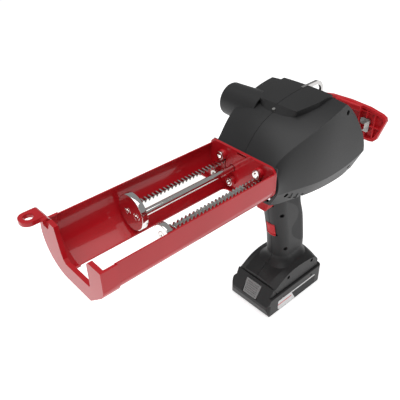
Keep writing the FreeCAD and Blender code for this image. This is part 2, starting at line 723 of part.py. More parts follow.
def foot_body(inset):
    """The foot that takes the battery: a domed, low block blended into the grip."""
    first, last = FOOT[0], FOOT[-1]
    sections = []
    for row in FOOT:
        shift = -inset if row is first else inset if row is last else 0.0
        sections.append(foot_section(row, inset, row[0] + shift))
    base = Part.makeLoft(sections, True, False)
    chin = slab_y([(first[0] - inset, FOOT_CHIN_Z), (FOOT_CHIN_X - inset, battery_top),
                   (FOOT_CHIN_X - inset, battery_top - 5.0), (0.0, battery_top - 5.0),
                   (0.0, FOOT_CHIN_Z)], -60, 60)
    wires = [rounded_rect(rear + inset, front - inset, half_y - inset, corner - inset * 0.8, z)
             for z, front, rear, half_y, corner in NECK]
    neck = Part.makeLoft(wires, True, False)
    return base.cut(chin).fuse(neck)


def case_body(inset):
    parts = [housing_body(inset), grip_body(inset), foot_body(inset)]
    return union(parts)


# ---------------------------------------------------------------- housing shells
# screws that clamp the two half shells: x, z, depth of the head's seat from the parting plane
SHELL_SCREWS = ((-110.5, 37.0, 44.0), (-20.0, -38.0, 38.0), (-132.0, -44.0, 42.0), (-61.0, -107.0, 7.0),
                (-74.5, -170.0, 8.0), (-66.0, -207.0, 20.0), (-117.0, -206.0, 20.0))
BOSS = 4.6


def case_with_hood(inset):
    return union([case_body(inset), hood(inset)])


GROOVE_HALF = 0.25
GROOVE_DEPTH = 0.8
MARK_DEPTH = 0.7


def parting_groove(outer):
    """Shallow groove all round the case along the parting plane of its two shells."""
    slab = box(-260, 20, -GROOVE_HALF, GROOVE_HALF, -260, 120)
    return outer.common(slab).cut(case_with_hood(GROOVE_DEPTH))


def side_mark():
    """Three slanted bars sunk into the left side as a plain decoration."""
    along_x, along_z = -0.90, -0.43
    up_x, up_z = 0.12, 0.99
    bars = []
    for i in (-1, 0, 1):
        centre = (-38.5 + 12.0 * i * along_x, -47.0 + 12.0 * i * along_z)
        corners = []
        for u, v in ((-3.6, -4.5), (3.6, -4.5), (3.6, 4.5), (-3.6, 4.5)):
            corners.append((centre[0] + u * along_x + v * up_x, centre[1] + u * along_z + v * up_z))
        bars.append(slab_y(corners, 30.0, 90.0))
    return union(bars).cut(case_body(MARK_DEPTH))


def shell_bosses():
    return union([rod_y_axis(BOSS, x, -62, 62, z) for x, z, seat in SHELL_SCREWS])


def hanging_loop():
    """Flat steel loop, clamped between the half shells at the top of the rear face."""
    outer = [(-96.0, 55.0), (-124.0, 55.4), (-131.5, 52.4), (-136.2, 46.0), (-137.0, 36.0), (-134.0, 29.0),
             (-127.0, 24.0), (-112.0, 20.0), (-96.0, 20.0)]
    inner = [(-104.0, 50.4), (-124.0, 50.8), (-129.0, 48.2), (-132.0, 43.6), (-132.4, 36.8),
             (-130.6, 32.6), (-125.6, 28.8), (-112.0, 25.0), (-104.0, 25.0)]
    half = loop_thick / 2.0
    loop = slab_y(outer, -half, half).cut(slab_y(inner, -half - 1, half + 1))
    loop = round_edges(loop, 1.0, lambda e: e.BoundBox.XMax < -125.5 and e.BoundBox.XMin < -128.0
                       and not along(e, V(0, 1, 0)))
    return loop


# front edge of the rubber on each side of the grip, from the housing's underside down: (x, z)
SOFT_GRIP_EDGE = ((-57.0, -68.5), (-62.0, -81.5), (-84.0, -100.0), (-92.7, -116.0), (-90.0, -126.4),
                  (-82.7, -134.4), (-81.7, -142.5), (-87.5, -154.4), (-105.0, -170.5))


def soft_grip_region(grow):
    """Side outline of the rubber overlay on the back of the grip, as a slab across it."""
    front = [V(x + grow, -40, z) for x, z in SOFT_GRIP_EDGE]
    curve = Part.BSplineCurve()
    curve.interpolate(front)
    far_low = V(-150, -40, -182.0 - grow)
    far_top = V(-150, -40, front[0].z)
    edges = [curve.toShape(), Part.makeLine(front[-1], far_low), Part.makeLine(far_low, far_top),
             Part.makeLine(far_top, front[0])]
    return Part.Face(Part.Wire(edges)).extrude(V(0, 80, 0))


def soft_grip():
    skin = grip_body(0.0).cut(grip_body(soft_grip_thick))
    return solid_of(skin.common(soft_grip_region(0.0)))


def lock_axis():
    """A point and direction of the line that the thumb collar of the grip turns about."""
    top = V(GRIP[3][1] - grip_corner - 0.4, 0, GRIP[3][0])
    low = V(GRIP[4][1] - grip_corner - 0.4, 0, GRIP[4][0])
    return top, (low - top).normalize()


LOCK_SPAN = 25.0
LOCK_TURN = 8.0
LOCK_STEM = 10.0
LOCK_LENGTH = 21.0
LOCK_CAP_INNER = grip_corner - 0.6
LOCK_CAP_OUTER = grip_corner + 1.4


def lock_sector(inner, outer, half_angle, start, length):
    """A piece of tube about the collar's line, centred on the front of the grip."""
    point, axis = lock_axis()
    base = point + axis * start
    side = V(0, 1, 0)
    front = side.cross(axis)
    if front.x < 0:
        front = front * -1.0
    steps = 8
    points = []
    for radius, order in ((inner, range(-steps, steps + 1)), (outer, range(steps, -steps - 1, -1))):
        for i in order:
            angle = math.radians(half_angle) * i / steps
            points.append(base + front * (radius * math.cos(angle)) + side * (radius * math.sin(angle)))
    return prism(points, axis * length)


def lock_switch():
    cap = lock_sector(LOCK_CAP_INNER, LOCK_CAP_OUTER - 0.7, LOCK_SPAN, 0.0, LOCK_LENGTH)
    stem = lock_sector(grip_corner - 5.0, LOCK_CAP_INNER + 0.2, LOCK_STEM, 5.0, LOCK_LENGTH - 10.0)
    ribs = []
    point, axis = lock_axis()
    front = V(0, 1, 0).cross(axis)
    if front.x < 0:
        front = front * -1.0
    for i in range(-3, 4):
        angle = math.radians(LOCK_SPAN - 3.0) * i / 3.0
        centre = point + axis * 1.5 + front * ((LOCK_CAP_OUTER - 1.0) * math.cos(angle)) \
            + V(0, 1, 0) * ((LOCK_CAP_OUTER - 1.0) * math.sin(angle))
        ribs.append(Part.makeCylinder(0.8, LOCK_LENGTH - 5.0, centre, axis))
    foot = lock_sector(LOCK_CAP_INNER, LOCK_CAP_OUTER, LOCK_SPAN, LOCK_LENGTH - 2.0, 2.0)
    return union([cap, stem, foot] + ribs)


TRIGGER_HALF = 8.0


def trigger_profile():
    return [(-40.6, -65.0), (-41.6, -72.0), (-41.0, -79.0), (-38.6, -86.0), (-36.0, -92.0),
            (-45.0, -91.4), (-58.0, -90.0), (-64.0, -84.0), (-64.0, -66.0)]


def trigger():
    """Finger trigger with a concave front, hollow behind, and a pusher for the switch."""
    body = slab_y(trigger_profile(), -TRIGGER_HALF, TRIGGER_HALF)
    body = round_edges(body, 2.0, lambda e: e.BoundBox.XMin > -50 and abs(abs(e.CenterOfMass.y)
                       - TRIGGER_HALF) < 0.01)
    hollow = box(-70, -49.0, -TRIGGER_HALF + 2.0, TRIGGER_HALF - 2.0, -86.0, -68.0)
    pusher = rod_x(2.6, -66.0, -48.0, 0, -77.0)
    return solid_of(body.cut(hollow).fuse(pusher))


def trigger_room(shell):
    gap = run
    room = slab_y([(-20, -61.8), (-20, -97), (-36, -92.6 - gap), (-45.0, -92.4 - gap),
                   (-64.0, -90.4 - gap), (-72.0, -90.4 - gap), (-72.0, -61.8)], -TRIGGER_HALF - gap, TRIGGER_HALF + gap)
    return shell.cut(room)


def trigger_switch():
    """Electrical switch behind the trigger, with the blind bore that takes the pusher's spring."""
    case = box(-97.5, -73.5, -8.0, 8.0, -97.0, -68.0)
    case = round_edges(case, 1.5, lambda e: along(e, V(1, 0, 0)))
    return case.cut(rod_x(4.4, -86.0, -73.0, 0, -77.0))


def coil_spring(radius, wire, turns, start, axis, length):
    """A round-wire compression spring: a circle swept along a helix."""
    helix = Part.makeHelix(length / turns, length, radius)
    edge = helix.Edges[0]
    begin = edge.valueAt(edge.FirstParameter)
    tangent = edge.tangentAt(edge.FirstParameter)
    ring = Part.Wire(Part.makeCircle(wire, begin, tangent))
    coil = Part.Wire(helix.Edges).makePipeShell([ring], True, True)
    coil.Placement = FreeCAD.Placement(start, FreeCAD.Rotation(V(0, 0, 1), axis))
    return coil


def trigger_spring():
    return coil_spring(3.5, 0.45, 7, V(-79.6, 0, -77.0), V(1, 0, 0), 14.6)


def gasket():
    """Rubber frame between the carrier's back plate and the front of the housing."""
    outer = carrier_block(-0.9, -gasket_thick, 0.0, back_plate_rise - 1.0)
    inner = carrier_block(-4.0, -gasket_thick - 1, 1.0, back_plate_rise - 4.0)
    return outer.cut(inner)


def gear_clearance():
    return rod_y_axis(gear_radius + gear_module + 1.0, shaft_x, gear_y - gear_width / 2.0 - 1.0,
                      gear_y + gear_width / 2.0 + 1.0, shaft_z)


FRAME_FRONT = -4.0
FRAME_BACK = -10.0
FRAME_SIDE_REAR = -50.0
SIDE_IN = 34.4
SIDE_OUT = 40.0
BUSH_OUTER = 8.0


def gearbox_frame():
    """Aluminium frame: front plate that the carrier bolts to, and two side plates with bearings."""
    plate = box(FRAME_BACK, FRAME_FRONT, -SIDE_OUT, SIDE_OUT, -42.5, -0.8)
    sides = [box(FRAME_SIDE_REAR, FRAME_BACK + 1, SIDE_IN, SIDE_OUT, -32.0, 4.6),
             box(FRAME_SIDE_REAR, FRAME_BACK + 1, -SIDE_OUT, -SIDE_IN, -32.0, 4.6)]
    frame = union([plate] + sides)
    frame = frame.cut(drive_holes(-60, 5, run))
    for y, z in zip(SCREW_Y, SCREW_Z):
        frame = frame.cut(rod_x(M6[0] + fit, -14, 5, y, z))
    frame = frame.cut(rod_y_axis(BUSH_OUTER, shaft_x, -60, 60, shaft_z))
    return solid_of(frame.cut(gear_clearance()))


def shaft_bushes():
    """Two flanged bronze bushes of the cross shaft."""
    bushes = []
    for side in (-1, 1):
        ring = rod_y_axis(BUSH_OUTER, shaft_x, min(side * SIDE_IN, side * SIDE_OUT),
                          max(side * SIDE_IN, side * SIDE_OUT), shaft_z)
        flange = rod_y_axis(BUSH_OUTER + 2.0, shaft_x, min(side * SIDE_OUT, side * (SIDE_OUT + 1.5)),
                            max(side * SIDE_OUT, side * (SIDE_OUT + 1.5)), shaft_z)
        bush = ring.fuse(flange).cut(rod_y_axis(shaft_radius + fit, shaft_x, -60, 60, shaft_z))
        bushes.append(bush)
    return Part.makeCompound(bushes)


def cross_shaft():
    shaft = rod_y_axis(shaft_radius, shaft_x, -SIDE_OUT - 4.0, SIDE_OUT + 4.0, shaft_z)
    return shaft


GUIDE_PLAY = 0.3


def guide_block(grow):
    return box(-146.0 - grow, -132.0 + grow, -38.0 - grow, 36.0 + grow, drive_z - 11.0 - grow,
               drive_z + 11.0 + grow)


def rack_guides():
    """Plastic guide block at the rear of the housing, which the racks and the rod slide through."""
    return guide_block(0.0).cut(drive_holes(-150, -120, GUIDE_PLAY))


BRACKET_Y0 = -13.6
BRACKET_Y1 = -9.8


def motor_bracket():
    """Steel plate that carries the motor's gearbox above the cross shaft."""
    plate = slab_y([(FRAME_BACK, -12.0), (FRAME_BACK, -1.0), (-44.0, 27.0), (-56.0, 35.0), (-78.0, 35.0),
                    (-80.0, 8.0), (-60.0, -8.0), (-52.0, -12.0)], BRACKET_Y0, BRACKET_Y1)
    plate = plate.cut(rod_y_axis(shaft_radius + 1.0, shaft_x, -30, 0, shaft_z))
    plate = plate.cut(rod_y_axis(7.0, motor_x, -30, 0, motor_z))
    return plate


def motor_bush():
    ring = rod_y_axis(7.0, motor_x, BRACKET_Y0, BRACKET_Y1, motor_z)
    return ring.cut(rod_y_axis(3.0 + fit, motor_x, -30, 0, motor_z))


def motor_can():
    outer = rod_y_axis(motor_radius, motor_x, motor_end_y, motor_end_y + motor_length, motor_z)
    outer = round_edges(outer, 1.5, lambda e: e.BoundBox.YMax < motor_end_y + 0.01)
    boss = rod_y_axis(6.0, motor_x, motor_end_y - 2.0, motor_end_y + 1.0, motor_z)
    return outer.fuse(boss)


def planet_case():
    """Reduction gearbox on the front of the motor, open for its output shaft."""
    y0 = motor_end_y + motor_length
    case = rod_y_axis(motor_radius, motor_x, y0, y0 + planet_case_length, motor_z)
    ring = rod_y_axis(motor_radius - 3.0, motor_x, y0 + planet_case_length - 0.4, BRACKET_Y0, motor_z)
    return case.fuse(ring).cut(rod_y_axis(3.4, motor_x, y0 + 6.0, 0, motor_z))


def motor_output_shaft():
    y0 = motor_end_y + motor_length + 6.5
    return rod_y_axis(3.0, motor_x, y0, gear_y + gear_width / 2.0 + 4.0, motor_z)


def cover_cone(grow, y0, y1):
    """A drafted round body about the motor's axis, between two stations across the gun."""
    r0 = motor_cover_radius + motor_cover_draft * (y0 - motor_cover_end_y) + grow
    r1 = motor_cover_radius + motor_cover_draft * (y1 - motor_cover_end_y) + grow
    return Part.makeCone(r0, r1, y1 - y0, V(motor_x, y0, motor_z), V(0, 1, 0))


def cover_seat():
    """Top of the right shell behind the cover: it carries the cover's round on into the raised panel."""
    seat_end = motor_cover_root_y + 12.0
    seat = cover_cone(0.0, motor_cover_root_y, seat_end)
    seat = seat.cut(cover_cone(-motor_cover_wall, motor_cover_root_y - 1.0, seat_end + 1.0))
    return seat.common(box(-110.0, -20.0, -60.0, 0.0, motor_z + motor_radius * 0.5, 80.0))


def motor_cover():
    """Round cap over the motor, standing out of the right shell."""
    outer = cover_cone(0.0, motor_cover_end_y, motor_cover_root_y)
    outer = round_edges(outer, 3.0, lambda e: e.BoundBox.YMax < motor_cover_end_y + 0.01)
    inner = cover_cone(-motor_cover_wall, motor_cover_end_y + motor_cover_wall, motor_cover_root_y + 1.0)
    return outer.cut(inner)


def control_board():
    board = box(-102.0, -84.0, 4.0, 5.6, -172.0, -112.0)
    parts = [box(-100.0, -92.0, 5.6, 10.0, -128.0, -117.0), box(-93.0, -86.0, 5.6, 8.0, -150.0, -138.0),
             box(-100.0, -90.0, 5.6, 11.0, -170.0, -156.0)]
    return union([board] + parts)


# ---------------------------------------------------------------- battery dock and pack
BLOCK_HALF = 18.0
BLOCK_TOP = -214.5
BLOCK_X0 = -112.0
BLOCK_X1 = -40.0
GROOVE_LOW = -219.6
GROOVE_HIGH = -217.0
BLADES_Y = (-10.0, -4.0, 4.0, 10.0)


def battery_dock():
    """Channel in the foot: its lips run in the grooves of the pack, its blades are the contacts."""
    top = box(-116.0, -47.0, -BLOCK_HALF - 2.6, BLOCK_HALF + 2.6, BLOCK_TOP + 0.4, BLOCK_TOP + 2.2)
    parts = [top]
    for side in (-1, 1):
        wall_in = side * (BLOCK_HALF + 0.4)
        wall_out = side * (BLOCK_HALF + 2.6)
        lip_in = side * (BLOCK_HALF - 1.6)
        parts.append(box(-116.0, -47.0, min(wall_in, wall_out), max(wall_in, wall_out),
                         -223.0, BLOCK_TOP + 1))
        parts.append(box(-116.0, -47.0, min(lip_in, wall_out), max(lip_in, wall_out),
                         GROOVE_LOW + run, GROOVE_HIGH - run))
    return union(parts)


def contact_blades():
    blades = [box(-104.0, -94.0, y - 0.4, y + 0.4, -222.0, BLOCK_TOP + 0.4) for y in BLADES_Y]
    carrier = box(-106.0, -92.0, -13.0, 13.0, BLOCK_TOP + 2.2, BLOCK_TOP + 8.0)
    legs = [box(-104.0, -94.0, y - 0.4, y + 0.4, BLOCK_TOP + 0.4, BLOCK_TOP + 2.3) for y in BLADES_Y]
    return union([carrier] + blades + legs)


def dock_with_slots():
    dock = battery_dock()
    for y in BLADES_Y:
        dock = dock.cut(box(-104.0, -94.0, y - 0.4, y + 0.4, -230, -200))
    return solid_of(dock)


def plan_block(grow, z0, z1, radius):
    wire = rounded_rect(battery_back - grow, battery_front + grow, battery_half + grow, radius + grow, z0)
    return Part.Face(wire).extrude(V(0, 0, z1 - z0))


def front_trim(inset):
    """What the slope at the front of the pack takes away."""
    return slab_y([(-36.0 - inset, -205.0), (-35.4 - inset, -211.2), (-22.4 - inset, -237.0),
                   (battery_front - inset, -242.0), (-25.4 - inset, -254.0 + inset * 0.5),
                   (-30.0 - inset, battery_bottom - 0.1 + inset), (10, -260), (10, -205)], -60, 60)


def battery_upper_outer(inset):
    body = plan_block(-inset, battery_seam, battery_top - 0.4 - inset, battery_corner)
    if inset < 0.01:
        body = round_edges(body, 2.0, lambda e: e.BoundBox.ZMin > battery_top - 0.5)
    tower = slab_y([(-44.0 + inset, battery_top - 1.0), (-43.0 + inset, battery_top - 0.4),
                    (-36.7 + inset * 0.3, -214.3 - inset * 0.3), (-36.7 + inset * 0.3, -211.6 - inset),
                    (-20.0, -211.6 - inset), (-20.0, battery_top - 1.0)],
                   -foot_half_width + inset, foot_half_width - inset)
    if inset < 0.01:
        corner = rounded_rect(-90.0, -21.6, foot_half_width, 13.0, -240.0)
        tower = tower.common(Part.Face(corner).extrude(V(0, 0, 40)))
    return body.fuse(tower).cut(front_trim(inset))


BUTTON_LOW = V(-22.9, 0, -236.4)
BUTTON_HIGH = V(-33.6, 0, -214.8)


def button_frame():
    up = (BUTTON_HIGH - BUTTON_LOW).normalize()
    out = V(0, 1, 0).cross(up)
    if out.x < 0:
        out = out * -1.0
    return up, out


def button_block(width, start, length, depth_in, depth_out):
    """A block on the sloping front of the pack, between two distances up the slope."""
    up, out = button_frame()
    base = BUTTON_LOW + up * start
    corners = [base - out * depth_in - V(0, width / 2.0, 0), base + out * depth_out - V(0, width / 2.0, 0),
               base + out * depth_out + V(0, width / 2.0, 0), base - out * depth_in + V(0, width / 2.0, 0)]
    return prism(corners, up * length)


def button_window():
    return button_block(button_width + 2 * run, 0.2, 23.0, 9.0, 3.0)


def side_recesses():
    """Small round sinks on both sides of the pack."""
    sinks = []
    for side in (-1, 1):
        y0 = side * (battery_half - 0.9)
        y1 = side * (battery_half + 1.0)
        for x, z in ((-54.5, -235.0), (-115.7, -232.0)):
            sinks.append(rod_y_axis(2.0, x, min(y0, y1), max(y0, y1), z))
    return union(sinks)


def battery_upper_case():
    shell = battery_upper_outer(0.0).cut(battery_upper_outer(battery_wall))
    block = box(BLOCK_X0, BLOCK_X1, -BLOCK_HALF, BLOCK_HALF, battery_top - 1.5, BLOCK_TOP)
    for side in (-1, 1):
        inner = side * (BLOCK_HALF - 2.2)
        outer = side * (BLOCK_HALF + 1.0)
        block = block.cut(box(BLOCK_X0 - 1, -46.0, min(inner, outer), max(inner, outer),
                              GROOVE_LOW, GROOVE_HIGH))
    for y in BLADES_Y:
        block = block.cut(box(BLOCK_X0 - 1, -92.0, y - 0.9, y + 0.9, -222.6, BLOCK_TOP + 1))
    shell = shell.fuse(block)
    shell = shell.cut(button_window()).cut(side_recesses())
    return solid_of(shell)


def battery_lower_outer(inset):
    body = plan_block(-inset, battery_bottom + inset, battery_seam, battery_corner)
    if inset < 0.01:
        body = round_edges(body, 2.4, lambda e: e.BoundBox.ZMax < battery_bottom + 0.1)
    return body.cut(front_trim(inset))


def battery_lower_case():
    shell = battery_lower_outer(0.0).cut(battery_lower_outer(battery_wall))
    for side in (-1, 1):
        y0 = side * (battery_half - label_depth)
        y1 = side * (battery_half + 1)
        shell = shell.cut(label_block(min(y0, y1), max(y0, y1), 0.0))
    for pad in corner_pad_blocks(0.0):
        shell = shell.cut(pad)
    shell = shell.cut(button_window()).cut(side_recesses())
    return biggest(shell)


LABEL_X = (-126.0, -44.0)
LABEL_Z = (-255.0, -236.4)
LABEL_CHAMFER = 4.0


def label_block(y0, y1, shrink):
    x0, x1 = LABEL_X[0] + shrink, LABEL_X[1] - shrink
    z0, z1 = LABEL_Z[0] + shrink, LABEL_Z[1] - shrink
    block = slab_y([(x0, z0), (x1 - LABEL_CHAMFER, z0), (x1, z0 + LABEL_CHAMFER), (x1, z1), (x0, z1)], y0, y1)
    return round_edges(block, 2.0, lambda e: along(e, V(0, 1, 0)) and e.BoundBox.XMin > x1 - 0.01
                       or along(e, V(0, 1, 0)) and e.BoundBox.XMax < x0 + 0.01)


def battery_label(side):
    y0 = side * (battery_half - label_depth)
    y1 = side * (battery_half - 0.1)
    return label_block(min(y0, y1), max(y0, y1), 0.15)


def corner_pad_blocks(shrink):
    blocks = []
    for x in (battery_back, battery_front):
        for side in (-1, 1):
            sign = 1 if x == battery_back else -1
            x_in = x + sign * 14.0
            y_out = side * (battery_half + 1)
            y_in = side * (battery_half - 12.0)
            blocks.append(box(min(x - sign, x_in), max(x - sign, x_in), min(y_out, y_in), max(y_out, y_in),
                              battery_bottom - 1, battery_bottom + 1.0 - shrink))
    return blocks


def battery_corner_pads():
    """Rubber pads moulded into the four bottom corners."""
    body = battery_lower_outer(0.0)
    return Part.makeCompound([solid_of(body.common(pad)) for pad in corner_pad_blocks(0.0)])


def battery_cells():
    pitch = 2.0 * cell_radius + 0.3
    first = battery_mid_x - 3.0 - pitch * (cell_count - 1) / 2.0
    z = battery_bottom + battery_wall + cell_radius + 0.6
    cells = [rod_y_axis(cell_radius, first + i * pitch, -cell_length / 2, cell_length / 2, z)
             for i in range(cell_count)]
    return Part.makeCompound(cells)


def release_button():
    up, out = button_frame()
    low = BUTTON_LOW + up * 0.6 - out * 3.4
    high = low + up * 22.0
    side_low = V(0, button_low_width / 2.0, 0)
    side_high = V(0, button_width / 2.0, 0)
    body = prism([low - side_low, low + side_low, high + side_high, high - side_high], out * 4.1)
    grooves = []
    for i in range(6):
        grooves.append(button_block(button_low_width - 4.0, 3.4 + 3.0 * i, 1.3, -0.1, 2.0))
    for groove in grooves:
        body = body.cut(groove)
    stem = button_block(8.0, 9.0, 6.0, 6.0, -3.0)
    return solid_of(body.fuse(stem))


# ---------------------------------------------------------------- assembling the shells
def half(shape, side):
    limit = box(-300, 300, 0, 120, -300, 200) if side > 0 else box(-300, 300, -120, 0, -300, 200)
    return shape.common(limit)


def case_wall(side):
    """Half of the bare case wall; the right one mirrors the left one."""
    wall = half(case_with_hood(0.0), 1).cut(case_body(shell_wall))
    return wall if side > 0 else wall.mirror(V(0, 0, 0), V(0, 1, 0))


def housing_shell(side):
    """One moulded half of the pistol housing, with its screw bosses."""
    outer = half(case_with_hood(0.0), side)
    bosses = half(shell_bosses(), side).common(outer)
    shell = case_wall(side)
    if side < 0:
        shell = shell.fuse(cover_seat())
    shell = shell.fuse(bosses.cut(box(-57, 0, -41.6, 41.6, -36, 30)).cut(
        box(-147, -131, -38.6, 36.6, drive_z - 11.6, drive_z + 11.6)))
    for x, z, seat in SHELL_SCREWS:
        shank, head, height = M3
        if side > 0:
            shell = shell.cut(rod_y_axis(shank + 0.15, x, -1, seat + 1, z))
            shell = shell.cut(rod_y_axis(head + recess_play, x, seat, 90, z))
        else:
            shell = shell.cut(rod_y_axis(shank, x, -14.0, 1, z))
    shell = shell.cut(drive_holes(-160, -140, run + 0.6))
    shell = shell.cut(soft_grip())
    shell = trigger_room(shell)
    shell = shell.cut(lock_sector(grip_corner - 6.0, 30.0, LOCK_STEM + LOCK_TURN + 1.2, 3.6,
                                  LOCK_LENGTH - 7.2))
    shell = shell.cut(lock_sector(LOCK_CAP_INNER - run, 30.0, LOCK_SPAN + LOCK_TURN + 1.0, -run,
                                  LOCK_LENGTH + 2 * run))
    shell = shell.cut(box(-50.0, -20.0, -BLOCK_HALF - 3.2, BLOCK_HALF + 3.2, -230, BLOCK_TOP + 2.6))
    shell = shell.cut(hanging_loop())
    shell = shell.cut(guide_block(fit))
    shell = shell.cut(set_screw(fit))
    shell = shell.cut(parting_groove(outer))
    if side < 0:
        shell = shell.cut(cover_cone(fit, motor_cover_end_y - 5.0, motor_cover_root_y))
        shell = shell.cut(rod_y_axis(motor_radius + slip, motor_x, motor_end_y, BRACKET_Y0, motor_z))
    else:
        shell = shell.cut(side_mark())
    return biggest(shell)


SET_SCREW_FOOT = V(-50.2, 0, 35.0)
SET_SCREW_LINE = V(0.35, 0, 1).normalize()


def biggest(shape):
    """The main solid of a cut shape, without crumbs."""
    return max(shape.Solids, key=lambda solid: solid.Volume)


def housing_screws():
    screws = []
    for x, z, seat in SHELL_SCREWS:
        screws.append(screw_y(M3, x, seat, z, seat + 10.0))
    return Part.makeCompound(screws)


def set_screw(grow):
    return Part.makeCylinder(1.9 + grow, 9.0, SET_SCREW_FOOT, SET_SCREW_LINE)


def hood_screw():
    """Bright set screw in the parting line, just ahead of the raised panel."""
    return set_screw(0.0)


# ---------------------------------------------------------------- all pieces
def all_pieces():
    pieces = {
        "left_housing_shell": housing_shell(1),
        "right_housing_shell": housing_shell(-1),
        "housing_screws": housing_screws(),
        "soft_grip": soft_grip(),
        "motor_cover": motor_cover(),
        "motor": motor_can(),
        "motor_gearbox": planet_case(),
        "motor_bracket": motor_bracket(),
        "motor_bush": motor_bush(),
        "motor_output_shaft": motor_output_shaft(),
        "motor_pinion": motor_pinion(),
        "drive_gear": drive_gear(),
        "cross_shaft": cross_shaft(),
        "large_rack_pinion": rack_pinion(rack_y_large),
        "small_rack_pinion": rack_pinion(rack_y_small),
        "shaft_bushes": shaft_bushes(),
        "gearbox_frame": gearbox_frame(),
        "rack_guide": rack_guides(),
        "front_gasket": gasket(),
        "hanging_loop": hanging_loop(),
        "hood_screw": hood_screw(),
        "control_board": control_board(),
        "trigger_switch": trigger_switch(),
        "trigger": trigger(),
        "trigger_spring": trigger_spring(),
        "lock_switch": lock_switch(),
        "battery_dock": dock_with_slots(),
        "contact_blades": contact_blades(),
        "battery_upper_case": battery_upper_case(),
        "battery_lower_case": battery_lower_case(),
        "battery_corner_pads": battery_corner_pads(),
        "battery_cells": battery_cells(),
        "battery_label_left": battery_label(1),
        "battery_label_right": battery_label(-1),
        "battery_release_button": release_button(),
        "carrier_back_plate": carrier_back_plate(),
        "carrier_tray": carrier_tray(),
        "carrier_nose": carrier_nose(),
        "carrier_screws": carrier_screws(),
        "large_piston_disc": piston_disc(large_disc_y, large_disc_radius, (rack_y_large, rod_y)),
        "small_piston_disc": piston_disc(rack_y_small, small_disc_radius, (rack_y_small,)),
        "piston_screws": piston_screws(),
        "large_rack": large_rack(),
        "small_rack": small_rack(),
        "guide_rod": guide_rod(),
        "pull_handle": pull_handle(),
        "rack_end_plates": rack_end_plates(),
        "pull_handle_screws": pull_handle_screws(),
    }
    return pieces


def export(pieces):
    os.makedirs("parts", exist_ok=True)
    for name, shape in pieces.items():
        placed = shape.copy()
        placed.translate(OFFSET)
        placed.exportStep("parts/" + name + ".step")
        box_now = placed.BoundBox
        print("%-24s solids %d valid %s volume %9.0f  x %7.1f %7.1f  y %7.1f %7.1f  z %7.1f %7.1f" % (
            name, len(placed.Solids), placed.isValid(), placed.Volume, box_now.XMin, box_now.XMax,
            box_now.YMin, box_now.YMax, box_now.ZMin, box_now.ZMax))


export(all_pieces())
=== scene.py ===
"""Looks of the cordless two-component caulking gun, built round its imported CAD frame."""

import json
import math

import bpy
from mathutils import Matrix, Vector


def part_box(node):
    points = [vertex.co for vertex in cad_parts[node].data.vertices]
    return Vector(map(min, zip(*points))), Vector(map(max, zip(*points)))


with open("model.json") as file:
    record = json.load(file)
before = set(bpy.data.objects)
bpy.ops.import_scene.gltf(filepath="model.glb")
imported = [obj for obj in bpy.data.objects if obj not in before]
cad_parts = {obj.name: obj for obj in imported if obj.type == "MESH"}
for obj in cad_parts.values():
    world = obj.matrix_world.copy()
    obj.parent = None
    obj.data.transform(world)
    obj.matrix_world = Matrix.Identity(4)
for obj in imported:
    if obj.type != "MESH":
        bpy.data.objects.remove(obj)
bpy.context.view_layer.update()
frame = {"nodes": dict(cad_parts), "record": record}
nodes = frame["nodes"]
scene = bpy.context.scene

MM = 0.001
WHITE = (1.0, 1.0, 1.0, 1.0)

# ------------------------------------------------------------------ places taken from the frame
BACK_PLATE_RISE = 5.5 * MM
plate_low, plate_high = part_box("carrier_back_plate")
DATUM = Vector((plate_low.x, 0.0, plate_high.z - BACK_PLATE_RISE))


def at(x, y, z):
    """A point given in millimetres from the carrier's datum, in the row frame."""
    return DATUM + Vector((x, y, z)) * MM


# ------------------------------------------------------------------ material helpers
def shader(name):
    """A new material: its node tree and its Principled shader."""
    material = bpy.data.materials.new(name)
    material.use_nodes = True
    tree = material.node_tree
    return material, tree, tree.nodes["Principled BSDF"]


def add_node(tree, kind, **settings):
    """A new node of a material's tree, with its settings."""
    node = tree.nodes.new(kind)
    for key, value in settings.items():
        setattr(node, key, value)
    return node


def object_noise(tree, scale, detail=2.0, stretch=(1.0, 1.0, 1.0), roughness=0.5):
    """Noise fixed to the piece; scale is in cycles per metre."""
    coords = add_node(tree, "ShaderNodeTexCoord")
    mapping = add_node(tree, "ShaderNodeMapping")
    mapping.inputs["Scale"].default_value = stretch
    noise = add_node(tree, "ShaderNodeTexNoise")
    noise.inputs["Scale"].default_value = scale
    noise.inputs["Detail"].default_value = detail
    noise.inputs["Roughness"].default_value = roughness
    tree.links.new(coords.outputs["Object"], mapping.inputs["Vector"])
    tree.links.new(mapping.outputs["Vector"], noise.inputs["Vector"])
    return noise


NOISE_LOW = 0.3                 # the part of the noise's range that is spread out
NOISE_HIGH = 0.7


def ranged(tree, value, low, high):
    """A value spread between two limits."""
    spread = add_node(tree, "ShaderNodeMapRange")
    spread.inputs["From Min"].default_value = NOISE_LOW
    spread.inputs["From Max"].default_value = NOISE_HIGH
    spread.inputs["To Min"].default_value = low
    spread.inputs["To Max"].default_value = high
    tree.links.new(value, spread.inputs["Value"])
    return spread.outputs["Result"]


def two_tones(tree, factor, first, second):
    """The first colour where the factor is 0, the second where it is 1."""
    mix = add_node(tree, "ShaderNodeMix", data_type="RGBA")
    mix.inputs["A"].default_value = (*first, 1.0)
    mix.inputs["B"].default_value = (*second, 1.0)
    tree.links.new(factor, mix.inputs["Factor"])
    return mix.outputs["Result"]


def bump(tree, bsdf, height, strength, distance):
    """Fine relief from a height; distance is in metres."""
    node = add_node(tree, "ShaderNodeBump")
    node.inputs["Strength"].default_value = strength
    node.inputs["Distance"].default_value = distance
    tree.links.new(height, node.inputs["Height"])
    tree.links.new(node.outputs["Normal"], bsdf.inputs["Normal"])


